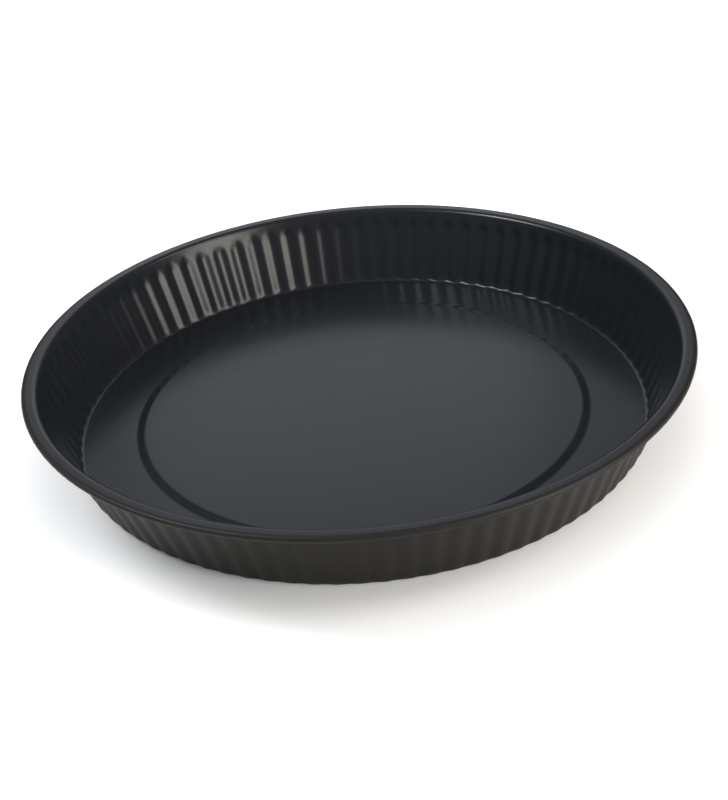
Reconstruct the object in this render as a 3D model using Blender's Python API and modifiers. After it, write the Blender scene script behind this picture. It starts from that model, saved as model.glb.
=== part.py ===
"""Fluted tart pan: one drawn steel sheet with a rolled rim, and the wire ring that the rim is rolled round.

Metres, +Z up, origin on the ground under the pan's centre.
"""

import math

import bmesh
import bpy

# Sheet and overall size
SHEET = 0.0006
RIM_RADIUS = 0.147
HEIGHT = 0.0365

# Base: a centre disc raised a little above the flat ring that the pan stands on
DISC_RADIUS = 0.0989
STEP_RADIUS = 0.1028
DISC_RISE = 0.0011

# Wall, measured on the inner face where the straight lines would meet
FOOT_RADIUS = 0.1274
LIP_RADIUS = 0.1405
FOOT_FILLET = 0.0025
LIP_FILLET = 0.0028
FILLET_STEPS = 3

# Flutes, pressed outwards into the wall below a smooth band: their depth, the heights where they are
# full and where they end, and the share of the pitch that is flat floor, and again flat ridge
FLUTES = 90
FLUTE_DEPTH = 0.0009
FLUTE_LOW = 0.0055
FLUTE_HIGH = 0.0255
FLUTE_TOP = 0.0290
FLUTE_FLAT = 0.26
FLUTE_SECTION = (
    (-FLUTE_FLAT / 2, 1),
    (FLUTE_FLAT / 2, 1),
    (0.5 - FLUTE_FLAT / 2, 0),
    (0.5 + FLUTE_FLAT / 2, 0),
)

# Flange that falls a little to a rolled edge, and the wire in the roll
FLANGE_FALL = 0.0002
BEAD_RADIUS = 0.0014
CURL_ANGLE = 270.0
CURL_STEPS = 6
WIRE_RADIUS = 0.0006
WIRE_GAP = 0.0006
WIRE_SIDES = 12
WIRE_POINTS = 91

SHARP_ANGLE = math.radians(50)

FLOOR = SHEET
WALL_SLOPE = math.atan2(HEIGHT - FLOOR, LIP_RADIUS - FOOT_RADIUS)
BEAD_CENTRE = (RIM_RADIUS - BEAD_RADIUS, HEIGHT - FLANGE_FALL - BEAD_RADIUS)


def clear_scene():
    for obj in list(bpy.data.objects):
        bpy.data.objects.remove(obj, do_unlink=True)


def wall_radius(height):
    """Radius of the smooth wall's inner face at this height."""
    return FOOT_RADIUS + (height - FLOOR) / math.tan(WALL_SLOPE)


def fillet_points(corner, radius, heading, turn):
    """Points round a corner of the profile, which runs up to it at one heading and leaves it turned."""
    tangent = radius * math.tan(abs(turn) / 2)
    chord = 2 * radius * math.sin(abs(turn) / FILLET_STEPS / 2)
    radial = corner[0] - tangent * math.cos(heading)
    height = corner[1] - tangent * math.sin(heading)
    points = [(radial, height)]
    for step in range(FILLET_STEPS):
        along = heading + turn * (step + 0.5) / FILLET_STEPS
        radial += chord * math.cos(along)
        height += chord * math.sin(along)
        points.append((radial, height))
    return points


def curl_points():
    """The rolled edge, from the outer end of the flange down and round."""
    points = []
    for step in range(CURL_STEPS + 1):
        angle = math.radians(90 - CURL_ANGLE * step / CURL_STEPS)
        points.append(
            (
                BEAD_CENTRE[0] + BEAD_RADIUS * math.cos(angle),
                BEAD_CENTRE[1] + BEAD_RADIUS * math.sin(angle),
            )
        )
    return points


def plain_ring(mesh, radius, height):
    ring = []
    for i in range(FLUTES):
        angle = math.tau * i / FLUTES
        ring.append(mesh.verts.new((radius * math.cos(angle), radius * math.sin(angle), height)))
    return ring


def fluted_ring(mesh, height):
    """Four points a flute: two on its floor, pressed out square to the wall, and two on its ridge."""
    ring = []
    for i in range(FLUTES):
        for along, pressed in FLUTE_SECTION:
            angle = math.tau * (i + along) / FLUTES
            radius = wall_radius(height) + pressed * FLUTE_DEPTH * math.sin(WALL_SLOPE)
            drop = pressed * FLUTE_DEPTH * math.cos(WALL_SLOPE)
            place = (radius * math.cos(angle), radius * math.sin(angle), height - drop)
            ring.append(mesh.verts.new(place))
    return ring


def band(mesh, lower, upper):
    """Quads between two rings with the same number of points, facing the pan's axis or up."""
    count = len(lower)
    for i in range(count):
        j = (i + 1) % count
        mesh.faces.new((lower[i], upper[i], upper[j], lower[j]))


def fan_band(mesh, plain, fluted, fluted_is_upper):
    """Joins a plain ring to a fluted one: each plain point meets the flute in front of it."""
    for i in range(FLUTES):
        here = plain[i]
        beyond = plain[(i + 1) % FLUTES]
        four = [fluted[(4 * i + k) % len(fluted)] for k in range(5)]
        faces = [
            (here, four[0], four[1]),
            (here, four[1], four[2]),
            (here, four[2], four[3], beyond),
            (beyond, four[3], four[4]),
        ]
        for face in faces:
            mesh.faces.new(face if fluted_is_upper else face[::-1])


def centre_fan(mesh, ring, height):
    centre = mesh.verts.new((0, 0, height))
    for i in range(len(ring)):
        mesh.faces.new((centre, ring[i], ring[(i + 1) % len(ring)]))


def build_skin(mesh):
    """The sheet's upper and inner face, as one open surface: a loft between plain rings and fluted ones."""
    below = [(DISC_RADIUS, FLOOR + DISC_RISE), (STEP_RADIUS, FLOOR)]
    below += fillet_points((FOOT_RADIUS, FLOOR), FOOT_FILLET, 0.0, WALL_SLOPE)
    above = [(wall_radius(FLUTE_TOP), FLUTE_TOP)]
    above += fillet_points((LIP_RADIUS, HEIGHT), LIP_FILLET, WALL_SLOPE, -WALL_SLOPE)
    above += curl_points()

    lower = [plain_ring(mesh, *point) for point in below]
    centre_fan(mesh, lower[0], FLOOR + DISC_RISE)
    for first, second in zip(lower, lower[1:]):
        band(mesh, first, second)

    bottom = fluted_ring(mesh, FLUTE_LOW)
    top = fluted_ring(mesh, FLUTE_HIGH)
    fan_band(mesh, lower[-1], bottom, True)
    band(mesh, bottom, top)

    upper = [plain_ring(mesh, *point) for point in above]
    fan_band(mesh, upper[0], top, False)
    for first, second in zip(upper, upper[1:]):
        band(mesh, first, second)


def material(name, colour, metallic, roughness):
    made = bpy.data.materials.new(name)
    made.use_nodes = True
    shader = made.node_tree.nodes["Principled BSDF"]
    shader.inputs["Base Color"].default_value = (*colour, 1.0)
    shader.inputs["Metallic"].default_value = metallic
    shader.inputs["Roughness"].default_value = roughness
    return made


def make_pan_body(collection):
    mesh = bmesh.new()
    build_skin(mesh)
    mesh.normal_update()
    data = bpy.data.meshes.new("pan_body")
    mesh.to_mesh(data)
    mesh.free()
    data.shade_smooth()
    data.set_sharp_from_angle(angle=SHARP_ANGLE)
    body = bpy.data.objects.new("pan_body", data)
    collection.objects.link(body)
    sheet = body.modifiers.new("sheet", "SOLIDIFY")
    sheet.thickness = SHEET
    sheet.offset = -1.0
    sheet.use_even_offset = True
    data.materials.append(material("black_coating", (0.016, 0.017, 0.019), 0.0, 0.35))


def make_rim_wire(collection):
    data = bpy.data.curves.new("rim_wire", "CURVE")
    data.dimensions = "3D"
    data.bevel_depth = WIRE_RADIUS
    data.bevel_resolution = WIRE_SIDES // 4 - 1
    data.use_fill_caps = True
    line = data.splines.new("POLY")
    line.points.add(WIRE_POINTS - 1)
    half_gap = WIRE_GAP / 2 / BEAD_CENTRE[0]
    for i, point in enumerate(line.points):
        angle = half_gap + (math.tau - 2 * half_gap) * i / (WIRE_POINTS - 1)
        point.co = (
            BEAD_CENTRE[0] * math.cos(angle),
            BEAD_CENTRE[0] * math.sin(angle),
            BEAD_CENTRE[1],
            1.0,
        )
    wire = bpy.data.objects.new("rim_wire", data)
    collection.objects.link(wire)
    data.materials.append(material("galvanised_wire", (0.55, 0.55, 0.54), 1.0, 0.4))


def build():
    clear_scene()
    collection = bpy.data.collections.new("tart_pan")
    bpy.context.scene.collection.children.link(collection)
    make_pan_body(collection)
    make_rim_wire(collection)


build()
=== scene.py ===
"""Looks of the fluted tart pan: the pressed sheet in full detail, its black coating, and a plain studio.

Metres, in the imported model's own frame: +Z up, origin on the ground under the pan's centre.
"""

import math

import bmesh
import bpy
from mathutils import Matrix, Vector


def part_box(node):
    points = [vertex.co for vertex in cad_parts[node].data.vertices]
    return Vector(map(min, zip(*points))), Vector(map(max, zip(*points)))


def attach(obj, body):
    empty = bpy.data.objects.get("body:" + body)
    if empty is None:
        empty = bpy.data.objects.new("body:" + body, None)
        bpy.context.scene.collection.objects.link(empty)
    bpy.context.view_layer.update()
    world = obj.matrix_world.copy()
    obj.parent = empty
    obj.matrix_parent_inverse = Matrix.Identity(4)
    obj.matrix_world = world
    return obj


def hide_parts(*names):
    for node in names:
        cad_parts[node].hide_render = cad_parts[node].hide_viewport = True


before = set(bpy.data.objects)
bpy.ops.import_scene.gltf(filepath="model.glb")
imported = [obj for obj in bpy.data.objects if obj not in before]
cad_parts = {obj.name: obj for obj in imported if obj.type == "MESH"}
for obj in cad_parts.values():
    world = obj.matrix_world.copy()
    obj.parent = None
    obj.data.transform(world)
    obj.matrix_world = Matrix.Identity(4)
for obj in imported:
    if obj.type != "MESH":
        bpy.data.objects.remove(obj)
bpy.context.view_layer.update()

# Overall size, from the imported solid. The finer sheet stays this far inside its outer edge
BODY_LOW, BODY_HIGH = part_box("pan_body")
EDGE_CLEARANCE = 0.0001
HEIGHT = BODY_HIGH.z
RIM_RADIUS = BODY_HIGH.x - EDGE_CLEARANCE
SHEET = 0.0006
FLOOR = SHEET

# Floor: a raised disc, whose sloping edge is centred on a circle, and the flat ring round it
DISC_RISE = 0.0011
STEP_MIDDLE = 0.10085
STEP_WIDTH = 0.0048
DISC_RINGS = (0.02, 0.06)
FLAT_RING = 0.115

# Wall, lip and rolled edge. The radii are the inner face's, where the straight lines would meet
FOOT_RADIUS = 0.1274
LIP_RADIUS = 0.1405
FOOT_FILLET = 0.0018
LIP_FILLET = 0.0028
BEAD_RADIUS = 0.0014
CURL_ANGLE = math.radians(270)
WALL_SLOPE = math.atan2(HEIGHT - FLOOR, LIP_RADIUS - FOOT_RADIUS)
SLANT = (HEIGHT - FLOOR) / math.sin(WALL_SLOPE)
FOOT_TANGENT = FOOT_FILLET * math.tan(WALL_SLOPE / 2)
LIP_TANGENT = LIP_FILLET * math.tan(WALL_SLOPE / 2)

# The flange is a shallow arc that leaves the lip level and meets the rolled edge at this slope
FLANGE_FALL = math.radians(1.5)
FLANGE_LENGTH = RIM_RADIUS - BEAD_RADIUS * (1 - math.sin(FLANGE_FALL)) - LIP_RADIUS - LIP_TANGENT
FLANGE_ARC = FLANGE_LENGTH / math.sin(FLANGE_FALL)

# Flutes: outward grooves. Their rounded upper ends are centred this far down the slope from the lip's
# corner and are stretched up it, and their depth grows from nothing between two places at its foot
FLUTES = 90
FLUTE_DEPTH = 0.00068
FLUTE_END = 0.0105
FLUTE_END_STRETCH = 1.6
FLUTE_GROWTH = (-0.0013, 0.0030)

# Mesh fineness: columns round the pan's centre, round its plain rings and across one flute, and
# steps on each arc
CENTRE_COLUMNS = 90
PLAIN_COLUMNS = 360
FLUTE_COLUMNS = 12
FLUTED_COLUMNS = FLUTES * FLUTE_COLUMNS
WALL_STEPS = 34
ARC_STEPS = 10
FLANGE_STEPS = 4
CURL_STEPS = 24

# Coating. Its outside starts where faces turn down, by the normal's Z, and on the bead's outer half, by
# distance from the origin.
# There it is rougher, and its darker, warmer colour is painted shade and painted warm light
COATING_IOR = 1.33
COLOUR_INSIDE = (0.0092, 0.0105, 0.0130)
OUTSIDE_PAINTED_SHADE_AND_WARM_LIGHT = (0.0070, 0.0058, 0.0042)
ROUGHNESS_INSIDE = (0.21, 0.25)
ROUGHNESS_OUTSIDE = 0.52
OUTSIDE_NORMAL = (-0.05, -0.25)
OUTSIDE_REACH = (0.1490, 0.1500)

# Noises: features a metre and levels of detail. Most of a noise's values lie in the middle span
BROAD_NOISE = (60, 3)
PEEL_NOISE = (1400, 2)
DRAWN_NOISE = (2500, 4)
NOISE_MIDDLE = (0.3, 0.7)
PEEL_STRENGTH = 0.06
PEEL_HEIGHT = 0.0002

WIRE_COLOUR = (0.52, 0.53, 0.53)
WIRE_ROUGHNESS = (0.32, 0.52)

# Stage: a white disc that glows faintly
STAGE_RADIUS = 8.0
STAGE_WHITE = (0.9, 0.9, 0.9)
STAGE_GLOW = 0.05

# Room: its strength rises from the first value to the second as the direction, dotted with the axis,
# goes through the span
ROOM_COLOUR = (0.88, 0.94, 1.0)
ROOM_AXIS = (0.0, -0.8, 0.6)
ROOM_SPAN = (0.0, 0.6)
ROOM_STRENGTH = (0.15, 0.46)

# Softboxes: azimuth from +X towards +Y and elevation in degrees, distance, size, radiance, colour
SOFTBOXES = {
    "backdrop": (92.0, 31.0, 1.3, (1.1, 0.78), 0.58, (0.92, 0.95, 1.0)),
    "backdrop_core": (93.0, 31.0, 1.25, (0.6, 0.75), 0.42, (0.92, 0.95, 1.0)),
    "softbox_right_low": (-36.0, 19.0, 1.2, (0.56, 0.8), 9.0, (1.0, 0.94, 0.86)),
    "softbox_right_high": (-15.0, 50.0, 1.2, (0.45, 0.45), 7.0, (1.0, 0.96, 0.9)),
    "softbox_left": (-174.0, 54.0, 1.2, (0.4, 0.4), 21.0, (0.97, 0.98, 1.0)),
    "key_back_left": (152.0, 34.0, 1.2, (0.5, 0.5), 18.0, (0.98, 0.99, 1.0)),
    "fill_above": (0.0, 90.0, 1.6, (1.6, 1.6), 1.2, (0.98, 0.99, 1.0)),
}
REFLECTIONS_ONLY = ("softbox_left",)
NO_REFLECTIONS = ("key_back_left", "fill_above")

# Camera: degrees round the aim point (azimuth from -Y towards +X, elevation and roll), and millimetres
# for the lens and sensor
CAMERA_AZIMUTH = 0.765
CAMERA_ELEVATION = 31.07
CAMERA_ROLL = -5.31
CAMERA_DISTANCE = 0.5435
CAMERA_AIM = (0.00164, -0.05295, 0.0352)
CAMERA_LENS = 59.85
CAMERA_SENSOR = 36.0
CAMERA_CLIP = (0.01, 50.0)


# ---------------------------------------------------------------- the pan's shape


def wall_point(slant):
    """Smooth wall's inner face, this far up the slope from where it would meet the floor."""
    return FOOT_RADIUS + slant * math.cos(WALL_SLOPE), FLOOR + slant * math.sin(WALL_SLOPE)


def smooth(t):
    """Eased step from 0 to 1 as t goes from 0 to 1."""
    t = min(max(t, 0.0), 1.0)
    return t * t * (3 - 2 * t)


def arc(start, heading, radius, turn, steps):
    """Profile points after the start of an arc, which leaves it at one heading and ends turned."""
    chord = 2 * radius * math.sin(abs(turn) / steps / 2)
    r, z = start
    points = []
    for step in range(steps):
        along = heading + turn * (step + 0.5) / steps
        r += chord * math.cos(along)
        z += chord * math.sin(along)
        points.append((r, z))
    return points


def step_points():
    """The raised disc's sloping edge, smooth at top and bottom."""
    points = []
    for i in range(ARC_STEPS * 2 + 1):
        t = i / (ARC_STEPS * 2)
        points.append((STEP_MIDDLE + STEP_WIDTH * (t - 0.5), FLOOR + DISC_RISE * (1 - smooth(t))))
    return points


def rim_points():
    """The lip's fillet, the flange, and the edge rolled down and round."""
    points = [wall_point(SLANT - LIP_TANGENT)]
    points += arc(points[-1], WALL_SLOPE, LIP_FILLET, -WALL_SLOPE, ARC_STEPS)
    points += arc(points[-1], 0.0, FLANGE_ARC, -FLANGE_FALL, FLANGE_STEPS)
    points += arc(points[-1], -FLANGE_FALL, BEAD_RADIUS, FLANGE_FALL - CURL_ANGLE, CURL_STEPS)
    return points


def groove(across, above):
    """Share of the full depth, this far from a groove's middle line and above the centre of its end.

    Both distances are in half pitches.
    """
    away = math.hypot(across, max(above, 0.0))
    return 0.5 + 0.5 * math.cos(math.pi * min(away, 1.0))


def ring(mesh, r, z, columns):
    made = []
    for i in range(columns):
        angle = math.tau * i / columns
        made.append(mesh.verts.new((r * math.cos(angle), r * math.sin(angle), z)))
    return made


def fluted_ring(mesh, r, z, slant):
    """A ring of the wall or the foot's fillet, pressed out square to the wall by the grooves."""
    half_pitch = math.pi * r / FLUTES
    above = (slant - (SLANT - FLUTE_END)) / (half_pitch * FLUTE_END_STRETCH)
    low, full = FLUTE_GROWTH
    depth = FLUTE_DEPTH * smooth((slant - low) / (full - low))
    made = []
    for i in range(FLUTED_COLUMNS):
        angle = math.tau * i / FLUTED_COLUMNS
        phase = (i % FLUTE_COLUMNS) / FLUTE_COLUMNS
        across = 2 * min(phase, 1 - phase)
        press = depth * groove(across, above)
        out = r + press * math.sin(WALL_SLOPE)
        height = z - press * math.cos(WALL_SLOPE)
        made.append(mesh.verts.new((out * math.cos(angle), out * math.sin(angle), height)))
    return made


def join(mesh, lower, upper):
    """Faces between two rings. Where one has more points, each point of the other gets a fan of them."""
    if len(lower) == len(upper):
        count = len(lower)
        for i in range(count):
            j = (i + 1) % count
            mesh.faces.new((lower[i], upper[i], upper[j], lower[j]))
        return
    coarse, fine = sorted((lower, upper), key=len)
    ratio = len(fine) // len(coarse)
    for i in range(len(coarse)):
        here, beyond = coarse[i], coarse[(i + 1) % len(coarse)]
        run = [fine[(ratio * i + k) % len(fine)] for k in range(ratio + 1)]
        middle = ratio // 2
        faces = [(here, run[k], run[k + 1]) for k in range(middle)]
        faces.append((here, run[middle], run[middle + 1], beyond))
        faces += [(beyond, run[k], run[k + 1]) for k in range(middle + 1, ratio)]
        for face in faces:
            mesh.faces.new(face if fine is upper else face[::-1])


def add_floor(mesh):
    """The raised disc, its edge and the flat ring round it. Returns the rings, inner first."""
    top = FLOOR + DISC_RISE
    inner, outer = DISC_RINGS
    rings = [ring(mesh, inner, top, CENTRE_COLUMNS), ring(mesh, outer, top, PLAIN_COLUMNS)]
    centre = mesh.verts.new((0, 0, top))
    for i in range(CENTRE_COLUMNS):
        mesh.faces.new((centre, rings[0][i], rings[0][(i + 1) % CENTRE_COLUMNS]))
    for r, z in step_points():
        rings.append(ring(mesh, r, z, PLAIN_COLUMNS))
    rings.append(ring(mesh, FLAT_RING, FLOOR, PLAIN_COLUMNS))
    return rings


def add_wall(mesh):
    """The foot's fillet and the fluted wall, up to the smooth band under the lip."""
    start = (FOOT_RADIUS - FOOT_TANGENT, FLOOR)
    foot = [start] + arc(start, 0.0, FOOT_FILLET, WALL_SLOPE, ARC_STEPS)
    rings = []
    for i, (r, z) in enumerate(foot):
        rings.append(fluted_ring(mesh, r, z, FOOT_TANGENT * (2 * i / ARC_STEPS - 1)))
    high = SLANT - LIP_TANGENT
    for i in range(1, WALL_STEPS):
        slant = FOOT_TANGENT + (high - FOOT_TANGENT) * i / WALL_STEPS
        r, z = wall_point(slant)
        rings.append(fluted_ring(mesh, r, z, slant))
    return rings


def add_rim(mesh):
    return [ring(mesh, r, z, PLAIN_COLUMNS) for r, z in rim_points()]


def add_object(name, mesh):
    """A new object in the scene, with the mesh that was built up, which is then freed."""
    data = bpy.data.meshes.new(name)
    mesh.to_mesh(data)
    mesh.free()
    made = bpy.data.objects.new(name, data)
    bpy.context.scene.collection.objects.link(made)
    return made


def make_sheet():
    """The pan's inner face as an open surface, given its thickness outwards and downwards."""
    mesh = bmesh.new()
    rings = add_floor(mesh) + add_wall(mesh) + add_rim(mesh)
    for lower, upper in zip(rings, rings[1:]):
        join(mesh, lower, upper)
    mesh.normal_update()
    sheet = add_object("pan_sheet", mesh)
    sheet.data.shade_smooth()
    thickness = sheet.modifiers.new("sheet", "SOLIDIFY")
    thickness.thickness = SHEET
    thickness.offset = -1.0
    thickness.use_even_offset = True
    return sheet


# ---------------------------------------------------------------- materials


def new_material(name, colour, metallic, roughness, ior):
    made = bpy.data.materials.new(name)
    made.use_nodes = True
    shader = made.node_tree.nodes["Principled BSDF"]
    shader.inputs["Base Color"].default_value = (*colour, 1.0)
    shader.inputs["Metallic"].default_value = metallic
    shader.inputs["Roughness"].default_value = roughness
    shader.inputs["IOR"].default_value = ior
    return made, made.node_tree, shader


def noise(tree, scale, detail):
    """Noise in the pan's own coordinates."""
    place = tree.nodes.new("ShaderNodeTexCoord")
    made = tree.nodes.new("ShaderNodeTexNoise")
    made.inputs["Scale"].default_value = scale
    made.inputs["Detail"].default_value = detail
    tree.links.new(place.outputs["Object"], made.inputs["Vector"])
    return made.outputs["Fac"]


def remap(tree, source, span, onto=(0.0, 1.0)):
    """Node that stretches one span of the source's values onto another, and stops at its ends."""
    made = tree.nodes.new("ShaderNodeMapRange")
    made.inputs["From Min"].default_value = span[0]
    made.inputs["From Max"].default_value = span[1]
    made.inputs["To Min"].default_value = onto[0]
    made.inputs["To Max"].default_value = onto[1]
    tree.links.new(source, made.inputs["Value"])
    return made


def on_outside(tree):
    """1 on faces that point down and on the bead's outer half, and 0 on the pan's inside and flange."""
    place = tree.nodes.new("ShaderNodeTexCoord")
    axes = tree.nodes.new("ShaderNodeSeparateXYZ")
    tree.links.new(place.outputs["Normal"], axes.inputs["Vector"])
    down = remap(tree, axes.outputs["Z"], OUTSIDE_NORMAL)
    reach = tree.nodes.new("ShaderNodeVectorMath")
    reach.operation = "LENGTH"
    tree.links.new(place.outputs["Object"], reach.inputs[0])
    far = remap(tree, reach.outputs["Value"], OUTSIDE_REACH)
    either = tree.nodes.new("ShaderNodeMath")
    either.operation = "MAXIMUM"
    tree.links.new(down.outputs["Result"], either.inputs[0])
    tree.links.new(far.outputs["Result"], either.inputs[1])
    return either.outputs["Value"]


def black_coating():
    """Satin inside, and duller outside, where a darker, warmer colour is painted shade and painted warm
    light; a fine orange peel all over.
    """
    middle = sum(ROUGHNESS_INSIDE) / 2
    made, tree, shader = new_material("black_coating", COLOUR_INSIDE, 0.0, middle, COATING_IOR)
    outside = on_outside(tree)

    # The outside's darker, warmer colour mixed in here is painted shade and painted warm light, not a
    # second coating
    colour = tree.nodes.new("ShaderNodeMixRGB")
    colour.inputs["Color1"].default_value = (*COLOUR_INSIDE, 1.0)
    colour.inputs["Color2"].default_value = (*OUTSIDE_PAINTED_SHADE_AND_WARM_LIGHT, 1.0)
    tree.links.new(outside, colour.inputs["Fac"])
    tree.links.new(colour.outputs["Color"], shader.inputs["Base Color"])

    satin = remap(tree, noise(tree, *BROAD_NOISE), NOISE_MIDDLE, ROUGHNESS_INSIDE)
    finish = tree.nodes.new("ShaderNodeMix")
    finish.inputs["B"].default_value = ROUGHNESS_OUTSIDE
    tree.links.new(outside, finish.inputs["Factor"])
    tree.links.new(satin.outputs["Result"], finish.inputs["A"])
    tree.links.new(finish.outputs["Result"], shader.inputs["Roughness"])

    bump = tree.nodes.new("ShaderNodeBump")
    bump.inputs["Strength"].default_value = PEEL_STRENGTH
    bump.inputs["Distance"].default_value = PEEL_HEIGHT
    tree.links.new(noise(tree, *PEEL_NOISE), bump.inputs["Height"])
    tree.links.new(bump.outputs["Normal"], shader.inputs["Normal"])
    return made


def galvanised_wire():
    middle = sum(WIRE_ROUGHNESS) / 2
    made, tree, shader = new_material("galvanised_wire", WIRE_COLOUR, 1.0, middle, 1.5)
    drawn = remap(tree, noise(tree, *DRAWN_NOISE), NOISE_MIDDLE, WIRE_ROUGHNESS)
    tree.links.new(drawn.outputs["Result"], shader.inputs["Roughness"])
    return made


def stage_white():
    made, tree, shader = new_material("stage_white", STAGE_WHITE, 0.0, 0.9, 1.45)
    shader.inputs["Specular IOR Level"].default_value = 0.0
    shader.inputs["Emission Color"].default_value = (1.0, 1.0, 1.0, 1.0)
    shader.inputs["Emission Strength"].default_value = STAGE_GLOW
    return made


def set_material(obj, made):
    obj.data.materials.clear()
    obj.data.materials.append(made)


# ---------------------------------------------------------------- studio


def from_angles(azimuth, elevation):
    """Unit vector at this azimuth from +X towards +Y and this elevation, in degrees."""
    a, e = math.radians(azimuth), math.radians(elevation)
    return Vector((math.cos(a) * math.cos(e), math.sin(a) * math.cos(e), math.sin(e)))


def make_stage():
    mesh = bmesh.new()
    bmesh.ops.create_circle(mesh, cap_ends=True, segments=96, radius=STAGE_RADIUS)
    floor = add_object("stage_floor", mesh)
    set_material(floor, stage_white())


def add_softbox(name, azimuth, elevation, distance, size, radiance, colour):
    """A rectangular area light that faces the middle of the pan."""
    light = bpy.data.lights.new(name, "AREA")
    light.shape = "RECTANGLE"
    light.size, light.size_y = size
    light.energy = radiance * math.pi * size[0] * size[1]
    light.color = colour
    box = bpy.data.objects.new(name, light)
    bpy.context.scene.collection.objects.link(box)
    away = from_angles(azimuth, elevation)
    box.location = Vector((0, 0, HEIGHT / 2)) + away * distance
    box.rotation_mode = "QUATERNION"
    box.rotation_quaternion = away.to_track_quat("Z", "Y")
    box.visible_diffuse = name not in REFLECTIONS_ONLY
    box.visible_glossy = name not in NO_REFLECTIONS


def make_world():
    """A dim room that is brighter overhead and on the camera's side."""
    world = bpy.data.worlds.new("studio")
    bpy.context.scene.world = world
    world.use_nodes = True
    tree = world.node_tree
    background = tree.nodes["Background"]
    place = tree.nodes.new("ShaderNodeTexCoord")
    towards = tree.nodes.new("ShaderNodeVectorMath")
    towards.operation = "DOT_PRODUCT"
    towards.inputs[1].default_value = ROOM_AXIS
    tree.links.new(place.outputs["Generated"], towards.inputs[0])
    ramp = remap(tree, towards.outputs["Value"], ROOM_SPAN, ROOM_STRENGTH)
    ramp.interpolation_type = "SMOOTHSTEP"
    tree.links.new(ramp.outputs["Result"], background.inputs["Strength"])
    background.inputs["Color"].default_value = (*ROOM_COLOUR, 1.0)


def make_camera():
    data = bpy.data.cameras.new("camera")
    data.sensor_width = CAMERA_SENSOR
    data.lens = CAMERA_LENS
    data.clip_start, data.clip_end = CAMERA_CLIP
    camera = bpy.data.objects.new("camera", data)
    bpy.context.scene.collection.objects.link(camera)
    back = from_angles(CAMERA_AZIMUTH - 90.0, CAMERA_ELEVATION)
    level = back.to_track_quat("Z", "Y").to_matrix().to_4x4()
    rolled = level @ Matrix.Rotation(math.radians(CAMERA_ROLL), 4, "Z")
    camera.matrix_world = Matrix.Translation(Vector(CAMERA_AIM) + back * CAMERA_DISTANCE) @ rolled
    bpy.context.scene.camera = camera


# ---------------------------------------------------------------- putting it together

sheet = make_sheet()
set_material(sheet, black_coating())
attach(sheet, "root")
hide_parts("pan_body")

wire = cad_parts["rim_wire"]
set_material(wire, galvanised_wire())

make_stage()
make_world()
for box_name, settings in SOFTBOXES.items():
    add_softbox(box_name, *settings)
make_camera()
bpy.context.scene.view_settings.view_transform = "Standard"
